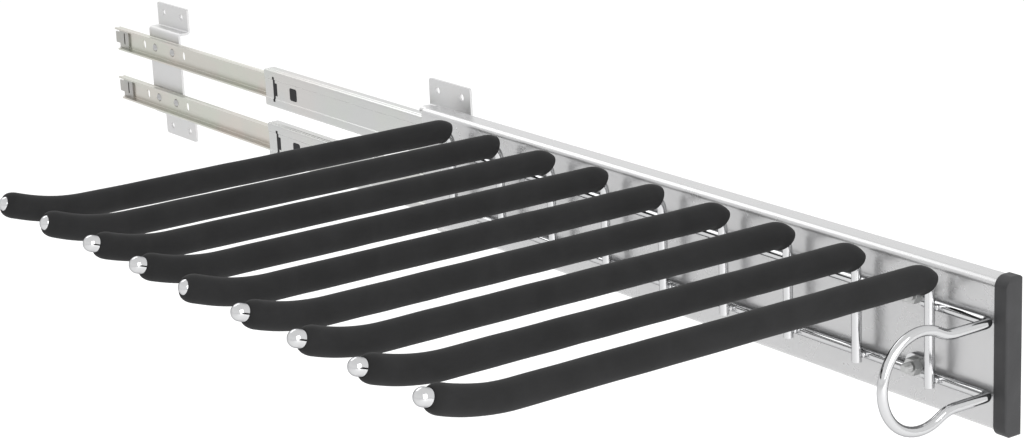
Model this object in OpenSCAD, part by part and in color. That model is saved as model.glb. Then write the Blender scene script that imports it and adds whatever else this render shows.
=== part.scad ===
// Pull-out trouser rack for a wardrobe side wall, drawn pulled out to its stop.
// Millimetres. X runs out of the wardrobe, Y into the side wall, Z up.
// The origin is the middle of the front bracket's screw holes, on the wall's face.

/* [Aluminium rail] */
// Length of the rail that carries the arms
rail_length = 481; // [470:1:540]
// Height of the rail
rail_height = 74.4; // [73.6:0.1:90]
// How far the rail's middle lies below the brackets' middle
rail_drop = 0.7; // [0:0.1:1]
// Depth of the rail's flanges from its front face
rail_depth = 11.8; // [9.5:0.1:12.5]
// Wall of the rail
rail_wall = 1.4; // [1.2:0.1:1.6]
// Outer radius along the rail's front edges
rail_corner = 3.4; // [2:0.1:5]
// How far the rail's rear end stands behind the front bracket's middle when pulled out
rail_rear_overhang = 2; // [1:0.1:10]

/* [Ball-bearing slides] */
// Length of each of the three members of a slide
member_length = 460; // [440:1:464]
// Sheet that the members are rolled from
slide_sheet = 1.2; // [1.1:0.05:1.3]
// Height of the narrow fixed member
fixed_height = 16.4; // [15:0.1:16.8]
// Depth of the narrow fixed member
fixed_depth = 6; // [5.8:0.1:6.6]
// Ball gap between the fixed and the middle member
rear_race_gap = 3.2; // [3:0.05:3.3]
// Ball gap between the middle and the rail member
front_race_gap = 2.2; // [2:0.05:2.3]
// Depth of the ball grooves
groove_depth = 0.35; // [0.25:0.01:0.38]
// Height between the two slides' middles
slide_pitch = 37.3; // [36:0.1:37.6]
// How far the slides' middle lies below the brackets' middle
slide_drop = 1.1; // [0.5:0.1:1.4]
// Rear end of the fixed members behind the front bracket's middle
fixed_rear = 428.4; // [415:0.1:440]
// Travel of the middle member on the fixed one
middle_travel = 228; // [200:1:232]
// Travel of the rail on the middle member
rail_travel = 200; // [180:1:202]

/* [Ball cages] */
// Length of a ball cage
cage_length = 148; // [140:1:150]
// Sheet of a ball cage's back
cage_sheet = 0.4; // [0.35:0.05:0.5]
// Sheet of a cage's ball strips
strip_sheet = 0.8; // [0.6:0.05:0.9]
// Balls along one side of a cage
cage_balls = 9; // [5:1:9]
// Distance from ball to ball
ball_pitch = 16; // [12:0.5:17]

/* [Wall brackets] */
// Width of a bracket along the wall
bracket_width = 45; // [38:0.5:50]
// Height of a bracket over its two screw tabs
bracket_height = 98.6; // [94:0.2:110]
// Sheet of a bracket
bracket_sheet = 1.6; // [1.4:0.1:1.9]
// How far a bracket's web stands off the wall
bracket_standoff = 9.7; // [9:0.1:12]
// Height of a bracket's web
bracket_web_height = 64.8; // [60:0.2:66]
// Outer bend radius of a bracket
bracket_bend = 2.4; // [2:0.1:3]
// Corner radius of the screw tabs
tab_corner = 2; // [1:0.1:4]
// Distance from the front bracket to the rear one
bracket_pitch = 361; // [330:1:370]
// Screw hole in a tab
wall_hole_diameter = 4.6; // [4:0.1:5.2]
// Distance between the two holes of a tab
wall_hole_pitch = 26.3; // [22:0.1:28]
// Height between the upper and the lower holes
wall_hole_rise = 85; // [82:0.2:88]

/* [Chrome frame and pull] */
// Diameter of the chrome wire
wire_diameter = 5; // [4.5:0.1:5.4]
// Height between the upper and lower frame wires
wire_pitch = 36.2; // [34:0.1:38]
// How far the frame's middle lies below the rail's middle
wire_drop = 1.4; // [0:0.1:2]
// Gap between the frame wires and the rail
wire_gap = 0.3; // [0.3:0.05:0.6]
// Bend radius of the frame wires at the pull
pull_bend = 4; // [3.5:0.5:10]
// Distance from the pull's middle to the rail's front end
pull_setback = 0.1; // [0:0.1:12]
// How far the pull stands off the rail's face, over its wire
pull_reach = 73.6; // [66:0.1:80]
// Radius of the pull's round end along the wire's middle
pull_radius = 23.8; // [20.5:0.1:25]
// Radius of the two necks between the pull's round end and its legs
pull_neck = 20; // [12:0.5:26]

/* [Trouser arms] */
// Number of arms
arm_count = 9; // [9:1:9]
// Distance from arm to arm
arm_pitch = 50.4; // [48:0.1:50.4]
// Distance from the rail's rear end to the first arm
arm_first = 43.1; // [40:0.1:46]
// Height of the arms above the rail's middle
arm_height = 32.4; // [31:0.1:34]
// Reach of an arm from the rail's face to the bend near its tip
arm_reach = 266.5; // [220:0.5:300]
// Length of an arm's raised tip
tip_length = 28; // [26:0.5:40]
// Slope of an arm's raised tip
tip_angle = 19.5; // [10:0.5:22]
// Bend radius of an arm at its post
arm_bend = 9.5; // [8.5:0.1:11]
// Bend radius of an arm below its raised tip
tip_bend = 110; // [60:1:120]
// Length of a post below the lower frame wire
post_tail = 3.5; // [3:0.1:6]
// Diameter of a foam sleeve
sleeve_diameter = 14; // [13:0.1:15]
// How far a sleeve follows the bend at its post
sleeve_wrap = 48; // [24:1:60]
// Diameter of a chrome tip cap
cap_diameter = 8.6; // [8:0.1:9]
// Depth of a tip cap's socket on its rod
cap_socket = 5; // [4:0.1:7]

/* [End cap] */
// Thickness of the plastic end cap
end_cap_length = 7.9; // [5:0.1:9]
// How far the end cap stands over the rail above and below
end_cap_lip = 2.2; // [1:0.1:2.5]
// How far the end cap stands over the rail's face
end_cap_side_lip = 0.6; // [0.4:0.05:1]
// How far the end cap stops short of the flanges' back edges
end_cap_inset = 1.8; // [1.6:0.1:3]
// Radius of the end cap's front corners
end_cap_corner = 5.4; // [3:0.1:6]
// Depth of the cap's plug in the rail
end_cap_plug = 8; // [6:0.5:10]

/* [Fasteners] */
// Thread diameter of the frame bolts
bolt_diameter = 5; // [4:0.1:5]
// Length of the frame bolts with their heads
bolt_length = 14; // [13:0.5:18]
// Width of the frame nuts across their flats
nut_flats = 8; // [7.5:0.1:8.5]
// Height of the frame nuts
nut_height = 4; // [3.5:0.1:4.5]
// Distance from the end posts to the frame bolts
bolt_inset = 14.1; // [12:0.1:20]
// How far the frame bolts stand above the wires' middle lines
bolt_rise = 2.8; // [0:0.1:3]

/* [Hidden] */
// Clearances and the overrun of cuts
over = 1;
joint_gap = 0.05;
joint_rise = 0.02;
running = 0.05;
snug = 0.1;
apart = 0.3;
round_fn = 48;
ball_fn = 32;

// Small sizes of the slides
bead = 0.5;
member_gap = 0.5;
member_radius = 1.6;
row_offset = 3.2;
band_share = 0.5;
strip_width = 4.4;
rail_member_depth = 7.6;
rivet_radius = 2;
rivet_head_radius = 3.1;
rivet_head_height = 1.4;
rivet_tail = 1.2;
slot_width = 4.4;
slot_height = 6.4;
slot_offset = 30.2;
notch_length = 3.4;

// Small sizes of the stops
stop_length = 14;
stop_tongue = 6;
stop_tongue_height = 8.2;
stop_sheet = 1.2;
stop_slit = 1.6;
latch_offset = 11.5;
latch_slot_width = 2.4;
latch_slot_height = 17;
latch_key_width = 5;
latch_key_height = 8.6;
latch_plate = 0.8;
buffer_offset = 36.4;
buffer_width = 9;
buffer_height = 8.4;
buffer_radius = 1.8;
buffer_depth = 2.2;

// Small sizes of the rail's fittings
flush_rivet_radius = 2;
flush_head_radius = 3.2;
rivet_shares = [0.04, 0.36, 0.68];
bolt_head_radius = 4.6;
bolt_head_height = 2.3;
bolt_key_flats = 3;
bolt_key_depth = 1.3;
washer_radius = 5;
washer_sheet = 1;
eye_sheet = 2.2;
eye_length = 16;
eye_height = 10;
nut_chamfer_share = 0.94;
frame_overhang = 10;
cap_skirt = 3;
cap_hood = 3;
hooded = [1, 1, 0, 0, 1, 0, 0, 0, 0];
wrap_shares = [0.7, 0.6, 0.9, 0.8, 0.65, 1, 1, 1.08, 0.96];
plug_wall = 1.6;
end_cap_back_corner = 1.2;
end_cap_face_radius = 1;
end_cap_end_radius = 2.4;

// Depths of the slide stack, from the wall outwards
cage_room = bead + 2 * apart + cage_sheet;
y_mount = -bracket_standoff;
y_fixed_tip = y_mount - fixed_depth;
y_middle_inner = y_fixed_tip - cage_room;
y_middle_face = y_middle_inner - slide_sheet;
y_middle_tip = y_mount - 2 * apart;
y_rail_inner = y_middle_face - member_gap;
y_rail_back = y_rail_inner - slide_sheet;
y_face = y_rail_back - rail_wall;
y_cage = y_middle_inner + bead + apart;
y_rear_row = y_mount - fixed_depth / 2;
y_front_row = y_rear_row - row_offset;

// Heights of the slide stack, from a slide's middle
fixed_half = fixed_height / 2;
rear_race = fixed_half + rear_race_gap / 2;
middle_half = fixed_half + rear_race_gap + slide_sheet;
front_race = middle_half + front_race_gap / 2;
rail_member_half = middle_half + front_race_gap + slide_sheet;
rear_groove = rear_race_gap / 2 + groove_depth;
front_groove = front_race_gap / 2 + groove_depth;
rear_ball = rear_groove - running;
front_ball = front_groove - running;
band_half = middle_half * band_share;

// Places along the rail
x_fixed = -fixed_rear;
x_middle = x_fixed + middle_travel;
x_rail_member = x_middle + rail_travel;
x_rail = -rail_rear_overhang;
x_rail_end = x_rail + rail_length;
rear_cage_middle = (x_middle + x_fixed + member_length) / 2;
front_cage_middle = (x_rail_member + x_middle + member_length) / 2;
x_first_arm = x_rail + arm_first;
x_last_arm = x_first_arm + (arm_count - 1) * arm_pitch;
x_frame = x_first_arm - frame_overhang;
x_pull = x_rail_end - pull_setback;
bolt_places = [x_first_arm + bolt_inset, x_last_arm - bolt_inset];
z_slides = [slide_pitch / 2 - slide_drop, -slide_pitch / 2 - slide_drop];
z_wires = [wire_pitch / 2 - wire_drop, -wire_pitch / 2 - wire_drop];
z_bolts = [z_wires[0] + bolt_rise, z_wires[1] + bolt_rise];
z_post_end = z_wires[1] - post_tail;

// The frame wires, the posts and the pull
wire_radius = wire_diameter / 2;
y_wire = y_face - wire_gap - wire_radius;
y_post = y_wire - wire_diameter - running;
y_pull = y_face - pull_reach + wire_radius + pull_radius;
neck_line = pull_radius + pull_neck;
neck_rise = wire_pitch / 2 + pull_neck;
neck_run = sqrt(neck_line * neck_line - neck_rise * neck_rise);
neck_angle = asin(neck_run / neck_line);
y_neck = y_pull + neck_run;

// The arms
y_knee = y_face - arm_reach;
knee_run = tip_bend * tan(tip_angle / 2);
sleeve_radius = sleeve_diameter / 2;
cap_radius = cap_diameter / 2;
socket_end = tip_length - cap_skirt + cap_socket;

// Flat shapes drawn in depth and height
module round_rect(low, high, radius) {
  size = high - low;
  translate([low[0] + radius, low[1]]) square([size[0] - 2 * radius, size[1]]);
  translate([low[0], low[1] + radius]) square([size[0], size[1] - 2 * radius]);
  for (u = [low[0] + radius, high[0] - radius])
    for (v = [low[1] + radius, high[1] - radius])
      translate([u, v]) circle(r = radius, $fn = round_fn);
}

module channel(depth, half, sheet, radius) {
  inner = max(radius - sheet, running);
  difference() {
    intersection() {
      round_rect([0, -half], [depth + radius + over, half], radius);
      translate([0, -half]) square([depth, 2 * half]);
    }
    round_rect([sheet, sheet - half], [depth + radius + over, half - sheet], inner);
  }
}

module step_band(face, half, rise) {
  polygon([[face, -half - rise], [face + rise, -half], [face + rise, half], [face, half + rise]]);
}

module along_x(start, length) {
  translate([start, 0, 0]) rotate([90, 0, 90]) linear_extrude(length) children();
}

module along_y(start, length) {
  translate([0, start + length, 0]) rotate([90, 0, 0]) linear_extrude(length) children();
}

module groove_cuts(row, race, radius, start, length) {
  for (side = [1, -1])
    translate([start - over, row, side * race]) rotate([0, 90, 0])
      cylinder(h = length + 2 * over, r = radius, $fn = round_fn);
}

module y_pin(place, radius, length) {
  translate(place) rotate([-90, 0, 0]) cylinder(h = length, r = radius, $fn = round_fn);
}

module domed_head(radius, height) {
  ball = (radius * radius + height * height) / (2 * height);
  intersection() {
    translate([0, 0, height - ball]) sphere(r = ball, $fn = round_fn);
    cylinder(h = height, r = radius, $fn = round_fn);
  }
}

// Wall brackets, bent from one strip
module bracket_section() {
  web = bracket_web_height / 2;
  inner = bracket_bend - bracket_sheet;
  difference() {
    union() {
      difference() {
        intersection() {
          round_rect([y_mount, -web], [bracket_bend + over, web], bracket_bend);
          translate([y_mount, -web]) square([bracket_standoff, 2 * web]);
        }
        round_rect([y_mount + bracket_sheet, bracket_sheet - web],
          [bracket_bend + over, web - bracket_sheet], inner);
      }
      for (side = [0, 1]) mirror([0, side]) {
        translate([-bracket_sheet, web - bracket_sheet])
          square([bracket_sheet, bracket_height / 2 - web + bracket_sheet]);
        translate([-bracket_bend, web]) difference() {
          square([inner + running, inner]);
          translate([0, inner]) circle(r = inner, $fn = round_fn);
        }
      }
    }
    for (side = [0, 1]) mirror([0, side]) translate([-bracket_bend, web - bracket_sheet]) difference() {
      translate([0, -over]) square([bracket_bend + over, bracket_bend + over]);
      translate([0, bracket_bend]) circle(r = bracket_bend, $fn = round_fn);
      translate([-over, 0]) square([over, bracket_bend]);
    }
  }
}

module bracket(middle) {
  half = bracket_width / 2;
  difference() {
    intersection() {
      along_x(middle - half, bracket_width) bracket_section();
      along_y(y_mount - over, bracket_standoff + 2 * over)
        translate([middle, 0])
          round_rect([-half, -bracket_height / 2], [half, bracket_height / 2], tab_corner);
    }
    for (x = [-1, 1]) {
      for (z = [-1, 1])
        y_pin([middle + x * wall_hole_pitch / 2, -bracket_sheet - over, z * wall_hole_rise / 2],
          wall_hole_diameter / 2, bracket_sheet + 2 * over);
      for (z = z_slides)
        y_pin([middle + x * wall_hole_pitch / 2, y_mount - over, z], rivet_radius + snug,
          bracket_sheet + 2 * over);
    }
  }
}

module rear_bracket() color("gainsboro") bracket(-bracket_pitch);
module front_bracket() color("gainsboro") bracket(0);

// Narrow members, riveted to both brackets
module fixed_slot(x) {
  for (side = [-1, 1])
    y_pin([x, y_mount - slide_sheet - over, side * (slot_height - slot_width) / 2], slot_width / 2,
      slide_sheet + 2 * over);
  translate([x - slot_width / 2, y_mount - slide_sheet - over, -(slot_height - slot_width) / 2])
    cube([slot_width, slide_sheet + 2 * over, slot_height - slot_width]);
}

module fixed_member(height) translate([0, 0, height]) difference() {
  along_x(x_fixed, member_length)
    translate([y_mount, 0]) mirror([1, 0]) channel(fixed_depth, fixed_half, slide_sheet, member_radius);
  groove_cuts(y_rear_row, rear_race, rear_groove, x_fixed, member_length);
  for (middle = [-bracket_pitch, 0]) for (x = [-1, 1])
    y_pin([middle + x * wall_hole_pitch / 2, y_mount - slide_sheet - over, 0], rivet_radius + snug,
      slide_sheet + 2 * over);
  for (x = [-bracket_pitch - slot_offset, -bracket_pitch + slot_offset, -slot_offset]) fixed_slot(x);
  translate([x_fixed - over, y_fixed_tip - over, -fixed_half - over])
    cube([notch_length + over, fixed_depth / 2 + over, slide_sheet + 2 * over]);
}

module upper_fixed_member() color("lightyellow") fixed_member(z_slides[0]);
module lower_fixed_member() color("lightyellow") fixed_member(z_slides[1]);

module slide_rivets() color("silver")
  for (middle = [-bracket_pitch, 0]) for (x = [-1, 1]) for (z = z_slides)
    translate([middle + x * wall_hole_pitch / 2, 0, z]) {
      y_pin([0, y_mount - slide_sheet, 0], rivet_radius, slide_sheet + bracket_sheet);
      translate([0, y_mount - slide_sheet, 0]) rotate([90, 0, 0])
        domed_head(rivet_head_radius, rivet_head_height);
      translate([0, y_mount + bracket_sheet, 0]) rotate([-90, 0, 0])
        domed_head(rivet_head_radius, rivet_tail);
    }

module rear_stop(height) {
  half = fixed_half - slide_sheet - snug;
  front = y_mount - slide_sheet - snug - stop_sheet;
  translate([0, 0, height]) difference() {
    union() {
      translate([x_fixed, front, -half]) cube([stop_length, stop_sheet, 2 * half]);
      translate([x_fixed - stop_tongue, front, -stop_tongue_height / 2])
        cube([stop_tongue + over, stop_sheet, stop_tongue_height]);
    }
    translate([x_fixed + stop_length / 2, front - over, -stop_tongue_height / 2])
      cube([stop_slit, stop_sheet + 2 * over, stop_tongue_height]);
  }
}

module upper_rear_stop() color("lightyellow") rear_stop(z_slides[0]);
module lower_rear_stop() color("lightyellow") rear_stop(z_slides[1]);

// Wide middle members with their latch and buffer
module latch_outline(gap) {
  translate([-latch_slot_width / 2 - gap, -latch_slot_height / 2 - gap])
    square([latch_slot_width + 2 * gap, latch_slot_height + 2 * gap]);
  translate([-latch_slot_width / 2 - gap, -latch_key_height / 2 - gap])
    square([latch_key_width + 2 * gap, latch_key_height + 2 * gap]);
}

module buffer_outline(gap) {
  half = [buffer_width / 2 + gap, buffer_height / 2 + gap];
  round_rect(-half, half, buffer_radius);
}

module middle_member(height) translate([0, 0, height]) difference() {
  along_x(x_middle, member_length) translate([y_middle_face, 0]) {
    difference() {
      channel(y_middle_tip - y_middle_face, middle_half, slide_sheet, member_radius);
      step_band(0, band_half, bead);
      translate([-over, -band_half - bead]) square([over, 2 * (band_half + bead)]);
    }
    step_band(slide_sheet, band_half, bead);
  }
  groove_cuts(y_rear_row, rear_race, rear_groove, x_middle, member_length);
  groove_cuts(y_front_row, front_race, front_groove, x_middle, member_length);
  along_y(y_middle_face - over, slide_sheet + bead + 2 * over)
    translate([x_middle + latch_offset, 0]) latch_outline(snug);
  along_y(y_middle_face - over, slide_sheet + bead + 2 * over)
    translate([x_middle + buffer_offset, 0]) buffer_outline(snug);
}

module middle_latch(height) translate([x_middle + latch_offset, 0, height]) {
  along_y(y_middle_face + bead, slide_sheet) latch_outline(0);
  translate([-latch_key_width, y_middle_face + bead + slide_sheet, -latch_key_height / 2 - bead])
    cube([2 * latch_key_width, latch_plate, latch_key_height + 2 * bead]);
}

module middle_buffer(height) translate([x_middle + buffer_offset, 0, height]) {
  along_y(y_middle_face + bead, slide_sheet + buffer_depth) buffer_outline(0);
}

module upper_middle_member() color("lightsteelblue") middle_member(z_slides[0]);
module lower_middle_member() color("lightsteelblue") middle_member(z_slides[1]);
module upper_latch() color("black") middle_latch(z_slides[0]);
module lower_latch() color("black") middle_latch(z_slides[1]);
module upper_buffer() color("black") middle_buffer(z_slides[0]);
module lower_buffer() color("black") middle_buffer(z_slides[1]);

// Ball cages and their balls
function ball_places(middle) = [for (i = [0 : cage_balls - 1]) middle + (i - (cage_balls - 1) / 2) * ball_pitch];

module rear_cage(height) translate([0, 0, height]) difference() {
  along_x(rear_cage_middle - cage_length / 2, cage_length) difference() {
    half = rear_race + strip_sheet / 2;
    depth = y_middle_tip - y_cage;
    translate([y_cage, -half]) square([depth, 2 * half]);
    translate([y_cage + cage_sheet, strip_sheet - half]) square([depth, 2 * (half - strip_sheet)]);
  }
  for (x = ball_places(rear_cage_middle))
    translate([x, y_rear_row, -rear_race - strip_sheet])
      cylinder(h = 2 * (rear_race + strip_sheet), r = rear_ball + running, $fn = round_fn);
}

module front_cage(height) translate([0, 0, height]) difference() {
  along_x(front_cage_middle - cage_length / 2, cage_length)
    for (side = [0, 1]) mirror([0, side])
      translate([y_front_row - strip_width / 2, front_race - strip_sheet / 2])
        square([strip_width, strip_sheet]);
  for (x = ball_places(front_cage_middle))
    translate([x, y_front_row, -front_race - strip_sheet])
      cylinder(h = 2 * (front_race + strip_sheet), r = front_ball + running, $fn = round_fn);
}

module balls(middle, row, race, radius, height)
  for (x = ball_places(middle)) for (side = [-1, 1])
    translate([x, row, height + side * race]) sphere(r = radius, $fn = ball_fn);

module upper_rear_cage() color("darkgray") rear_cage(z_slides[0]);
module lower_rear_cage() color("darkgray") rear_cage(z_slides[1]);
module upper_front_cage() color("darkgray") front_cage(z_slides[0]);
module lower_front_cage() color("darkgray") front_cage(z_slides[1]);
module upper_rear_balls() color("silver")
  balls(rear_cage_middle, y_rear_row, rear_race, rear_ball, z_slides[0]);
module lower_rear_balls() color("silver")
  balls(rear_cage_middle, y_rear_row, rear_race, rear_ball, z_slides[1]);
module upper_front_balls() color("silver")
  balls(front_cage_middle, y_front_row, front_race, front_ball, z_slides[0]);
module lower_front_balls() color("silver")
  balls(front_cage_middle, y_front_row, front_race, front_ball, z_slides[1]);

// Outer members, clamped inside the rail
module frame_bolt_cuts() for (x = bolt_places) for (z = z_bolts) {
  y_pin([x, y_face - over, z], bolt_diameter / 2 + snug, y_rail_inner - y_face + 2 * over);
  translate([x, y_rail_inner + snug, z]) rotate([90, 0, 0])
    cylinder(h = bolt_head_height + snug, r1 = bolt_head_radius + snug, r2 = bolt_diameter / 2 + snug,
      $fn = round_fn);
}

module flush_rivet(place, gap) translate(place) {
  y_pin([0, -gap, 0], flush_rivet_radius + gap, y_rail_inner - y_face + 2 * gap);
  rotate([-90, 0, 0]) cylinder(h = rail_wall, r1 = flush_head_radius + gap,
    r2 = flush_rivet_radius + gap, $fn = round_fn);
}

module rail_rivet_row(gap)
  for (share = rivet_shares) for (z = z_slides)
    flush_rivet([x_rail_member + share * member_length, y_face, z], gap);

module rail_member(height) difference() {
  translate([0, 0, height]) {
    difference() {
      along_x(x_rail_member, member_length)
        translate([y_rail_back, 0]) channel(rail_member_depth, rail_member_half, slide_sheet, member_radius);
      groove_cuts(y_front_row, front_race, front_groove, x_rail_member, member_length);
    }
  }
  frame_bolt_cuts();
  rail_rivet_row(running);
}

module upper_rail_member() color("lightsteelblue") rail_member(z_slides[0]);
module lower_rail_member() color("lightsteelblue") rail_member(z_slides[1]);

// The aluminium rail and what closes it
module rail() color("silver") difference() {
  along_x(x_rail, rail_length)
    translate([y_face, -rail_drop]) channel(rail_depth, rail_height / 2, rail_wall, rail_corner);
  frame_bolt_cuts();
  rail_rivet_row(running);
}

module rail_rivets() color("silver") rail_rivet_row(0);

module end_cap() color("dimgray") translate([0, 0, -rail_drop]) {
  front = y_face - end_cap_side_lip;
  back = y_face + rail_depth - end_cap_inset;
  top = rail_height / 2 + end_cap_lip;
  ahead = x_rail_end + end_cap_length;
  behind = x_rail_end - end_cap_end_radius - over;
  intersection() {
    along_x(x_rail_end, end_cap_length) intersection() {
      round_rect([front, -top], [back + 2 * end_cap_corner, top], end_cap_corner);
      round_rect([front, -top], [back, top], end_cap_back_corner);
    }
    translate([0, 0, -top]) linear_extrude(2 * top)
      round_rect([behind, front], [ahead, back], end_cap_face_radius);
    along_y(front - over, back - front + 2 * over)
      round_rect([behind, -top], [ahead, top], end_cap_end_radius);
  }
  along_x(x_rail_end - end_cap_plug, end_cap_plug + over) difference() {
    plug_top = rail_height / 2 - rail_wall - snug;
    plug_front = y_face + rail_wall + snug;
    plug_back = back - snug;
    inner = rail_corner - rail_wall;
    round_rect([plug_front, -plug_top], [plug_back, plug_top], inner);
    round_rect([plug_front + plug_wall, plug_wall - plug_top], [plug_back - plug_wall, plug_top - plug_wall],
      inner / 2);
  }
}

// The chrome frame with its pull
module x_wire(start, end, z)
  translate([start, y_wire, z]) rotate([0, 90, 0]) cylinder(h = end - start, r = wire_radius, $fn = round_fn);

module yz_bend(radius, from, sweep, wire)
  rotate([90, 0, 90]) rotate([0, 0, from]) rotate_extrude(angle = sweep, $fn = 2 * round_fn)
    translate([radius, 0]) circle(r = wire, $fn = round_fn);

// A ball a hair wider than the wire joins two runs that meet at a slant
module joint_ball(place, wire) translate(place) sphere(r = wire + joint_rise, $fn = round_fn);

// One leg of the pull, drawn for the upper wire: bend, leg and neck
module pull_leg() {
  trim = joint_gap / pull_neck * 180 / PI;
  translate([x_pull - pull_bend, y_wire - pull_bend, wire_pitch / 2])
    rotate_extrude(angle = 90, $fn = 2 * round_fn)
      translate([pull_bend, 0]) circle(r = wire_radius, $fn = round_fn);
  translate([x_pull, y_neck, wire_pitch / 2]) rotate([-90, 0, 0])
    cylinder(h = y_wire - pull_bend - y_neck, r = wire_radius, $fn = round_fn);
  translate([x_pull, y_neck, neck_rise]) yz_bend(pull_neck, 270, trim - neck_angle, wire_radius);
  joint_ball([x_pull, y_pull + pull_radius * sin(neck_angle), pull_radius * cos(neck_angle)], wire_radius);
}

module eye_pad(x, z) difference() {
  along_y(y_face - eye_sheet, eye_sheet) translate([x, z])
    round_rect([-eye_length / 2, -eye_height / 2], [eye_length / 2, eye_height / 2], eye_height / 2 - snug);
  y_pin([x, y_face - eye_sheet - over, z], bolt_diameter / 2 + snug, eye_sheet + 2 * over);
}

module handle_frame() color("gainsboro") {
  eye_gap = washer_radius + apart;
  for (z = z_wires) {
    x_wire(x_frame, bolt_places[0] - eye_gap, z);
    x_wire(bolt_places[0] + eye_gap, bolt_places[1] - eye_gap, z);
    x_wire(bolt_places[1] + eye_gap, x_pull - pull_bend, z);
    for (x = bolt_places) eye_pad(x, z + bolt_rise);
  }
  trim = joint_gap / pull_radius * 180 / PI;
  translate([0, 0, -wire_drop]) {
    for (side = [0, 1]) mirror([0, 0, side]) pull_leg();
    translate([x_pull, y_pull, 0])
      yz_bend(pull_radius, 90 - neck_angle + trim, 180 + 2 * (neck_angle - trim), wire_radius);
  }
}

module frame_bolts() color("gray") for (x = bolt_places) for (z = z_bolts)
  translate([x, y_rail_inner, z]) rotate([90, 0, 0]) difference() {
    union() {
      cylinder(h = bolt_head_height, r1 = bolt_head_radius, r2 = bolt_diameter / 2, $fn = round_fn);
      cylinder(h = bolt_length, r = bolt_diameter / 2, $fn = round_fn);
    }
    translate([0, 0, -over]) cylinder(h = bolt_key_depth + over, d = bolt_key_flats / cos(30), $fn = 6);
  }

module frame_washers() color("silver") for (x = bolt_places) for (z = z_bolts)
  difference() {
    y_pin([x, y_face - eye_sheet - washer_sheet, z], washer_radius, washer_sheet);
    y_pin([x, y_face - eye_sheet - washer_sheet - over, z], bolt_diameter / 2 + snug, washer_sheet + 2 * over);
  }

module frame_nuts() color("silver") for (x = bolt_places) for (z = z_bolts)
  translate([x, y_face - eye_sheet - washer_sheet, z]) rotate([90, 0, 0]) difference() {
    corner = nut_flats / cos(30) / 2;
    intersection() {
      cylinder(h = nut_height, r = corner, $fn = 6);
      translate([0, 0, nut_height / 2 - corner * 2])
        cylinder(h = corner * 2 + nut_height / 2, r1 = corner * 3, r2 = corner * nut_chamfer_share, $fn = round_fn);
    }
    translate([0, 0, -over]) cylinder(h = nut_height + 2 * over, r = bolt_diameter / 2 + running, $fn = round_fn);
  }

// Arms: rod, foam sleeve and chrome tip
module tip_frame() translate([0, y_knee, arm_height]) rotate([90 - tip_angle, 0, 0]) children();

module arm_post(radius)
  translate([0, y_post, z_post_end]) cylinder(h = arm_height - arm_bend - z_post_end, r = radius, $fn = round_fn);

module arm_sweep(radius, reach) {
  trim = joint_gap / tip_bend * 180 / PI;
  translate([0, y_post - arm_bend, arm_height - arm_bend]) yz_bend(arm_bend, 0, 90, radius);
  translate([0, y_post - arm_bend, arm_height]) rotate([90, 0, 0])
    cylinder(h = y_post - arm_bend - y_knee - knee_run, r = radius, $fn = round_fn);
  translate([0, y_knee + knee_run, arm_height + tip_bend])
    yz_bend(tip_bend, 270, trim - tip_angle, radius);
  tip_frame() {
    joint_ball([0, 0, knee_run], radius);
    translate([0, 0, knee_run + joint_gap])
      cylinder(h = reach - knee_run - joint_gap, r = radius, $fn = round_fn);
  }
}

module arm_rod(i) color("gainsboro") translate([x_first_arm + i * arm_pitch, 0, 0]) {
  arm_post(wire_radius);
  arm_sweep(wire_radius, socket_end - snug);
}

module arm_sleeve(i) color("#262626") translate([x_first_arm + i * arm_pitch, 0, 0]) {
  end = tip_length - cap_skirt + cap_hood * hooded[i];
  difference() {
    arm_sweep(sleeve_radius, end);
    arm_post(wire_radius + running);
    arm_sweep(wire_radius + running, end + over);
    translate([0, y_post - arm_bend, arm_height - arm_bend]) rotate([90 - sleeve_wrap * wrap_shares[i], 0, 0])
      translate([-sleeve_diameter, 0, -2 * sleeve_diameter]) cube(2 * sleeve_diameter);
    tip_frame() translate([0, 0, tip_length - cap_skirt])
      cylinder(h = cap_hood + over, r = cap_radius + snug, $fn = round_fn);
  }
}

module arm_tip(i) color("white") translate([x_first_arm + i * arm_pitch, 0, 0]) tip_frame() difference() {
  union() {
    translate([0, 0, tip_length - cap_skirt]) cylinder(h = cap_skirt, r = cap_radius, $fn = round_fn);
    translate([0, 0, tip_length]) sphere(r = cap_radius, $fn = round_fn);
  }
  translate([0, 0, tip_length - cap_skirt - cap_diameter]) cylinder(h = cap_diameter, r = cap_diameter, $fn = round_fn);
  translate([0, 0, tip_length - cap_skirt - over])
    cylinder(h = cap_socket + over, r = wire_radius + running, $fn = round_fn);
}
module arm_1_rod() arm_rod(0);
module arm_1_sleeve() arm_sleeve(0);
module arm_1_tip() arm_tip(0);
module arm_2_rod() arm_rod(1);
module arm_2_sleeve() arm_sleeve(1);
module arm_2_tip() arm_tip(1);
module arm_3_rod() arm_rod(2);
module arm_3_sleeve() arm_sleeve(2);
module arm_3_tip() arm_tip(2);
module arm_4_rod() arm_rod(3);
module arm_4_sleeve() arm_sleeve(3);
module arm_4_tip() arm_tip(3);
module arm_5_rod() arm_rod(4);
module arm_5_sleeve() arm_sleeve(4);
module arm_5_tip() arm_tip(4);
module arm_6_rod() arm_rod(5);
module arm_6_sleeve() arm_sleeve(5);
module arm_6_tip() arm_tip(5);
module arm_7_rod() arm_rod(6);
module arm_7_sleeve() arm_sleeve(6);
module arm_7_tip() arm_tip(6);
module arm_8_rod() arm_rod(7);
module arm_8_sleeve() arm_sleeve(7);
module arm_8_tip() arm_tip(7);
module arm_9_rod() arm_rod(8);
module arm_9_sleeve() arm_sleeve(8);
module arm_9_tip() arm_tip(8);

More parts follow.
